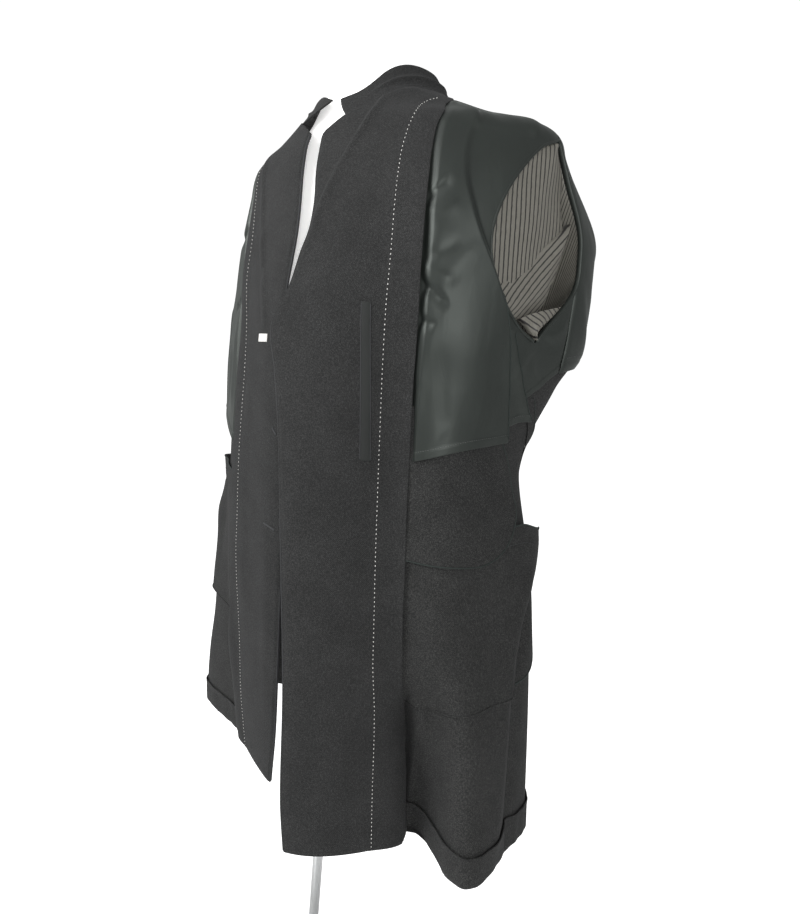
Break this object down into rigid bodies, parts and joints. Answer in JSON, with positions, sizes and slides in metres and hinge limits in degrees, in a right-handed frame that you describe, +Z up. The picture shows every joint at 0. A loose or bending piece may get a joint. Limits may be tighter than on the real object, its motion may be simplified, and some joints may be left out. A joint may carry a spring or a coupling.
{
  "type": "wool coat worn inside out on a dress form",
  "caption": "Single-breasted charcoal wool coat, inside out and open, half-lined in dark satin, on a white limbless dress form with a pole and round base.",
  "frame": {"origin": "centre of the stand base's underside, on the floor under the pole", "axes": "+Z up, -Y to the front of the coat, +X to the wearer's left"},
  "size_m": [0.6144, 0.37, 1.511],
  "materials": {
    "wool": "matt, dry, closely woven charcoal wool",
    "facing": "matt, dry charcoal wool",
    "satin_lining": "soft sheen, dark green-grey satin",
    "pocketing": "matt, dark twill pocketing",
    "striped_lining": "soft sheen, pale beige-grey with fine dark stripes",
    "horn": "semi-matt, dark, horn-like",
    "label_tab": "matt white tape",
    "form_cover": "smooth matt white cover",
    "stand_metal": "brushed, pale steel"
  },
  "bodies": {
    "root": {"front_left": "wool", "front_right": "wool", "back_left": "wool", "back_right": "wool", "hem_front_left": "wool", "hem_front_right": "wool", "hem_back_left": "wool", "hem_back_right": "wool", "sleeve_left": "wool", "sleeve_right": "wool", "forearm_left": "wool", "forearm_right": "wool", "facing_left": "facing", "facing_right": "facing", "collar": "facing", "lining_front_left": "satin_lining", "lining_front_right": "satin_lining", "lining_side_left": "satin_lining", "lining_side_right": "satin_lining", "lining_back_left": "satin_lining", "lining_back_right": "satin_lining", "breast_welt_left": "satin_lining", "hip_pocket_bag_left": "pocketing", "hip_pocket_bag_right": "pocketing", "inner_pocket_bag_left": "pocketing", "sleeve_lining_left": "striped_lining", "sleeve_lining_right": "striped_lining", "button_upper": "horn", "button_middle": "horn", "button_lower": "horn", "tab_right": "label_tab", "dress_form": "form_cover", "neck_cap": "form_cover", "stand_base": "stand_metal", "stand_pole": "stand_metal"}
  },
  "joints": []
}
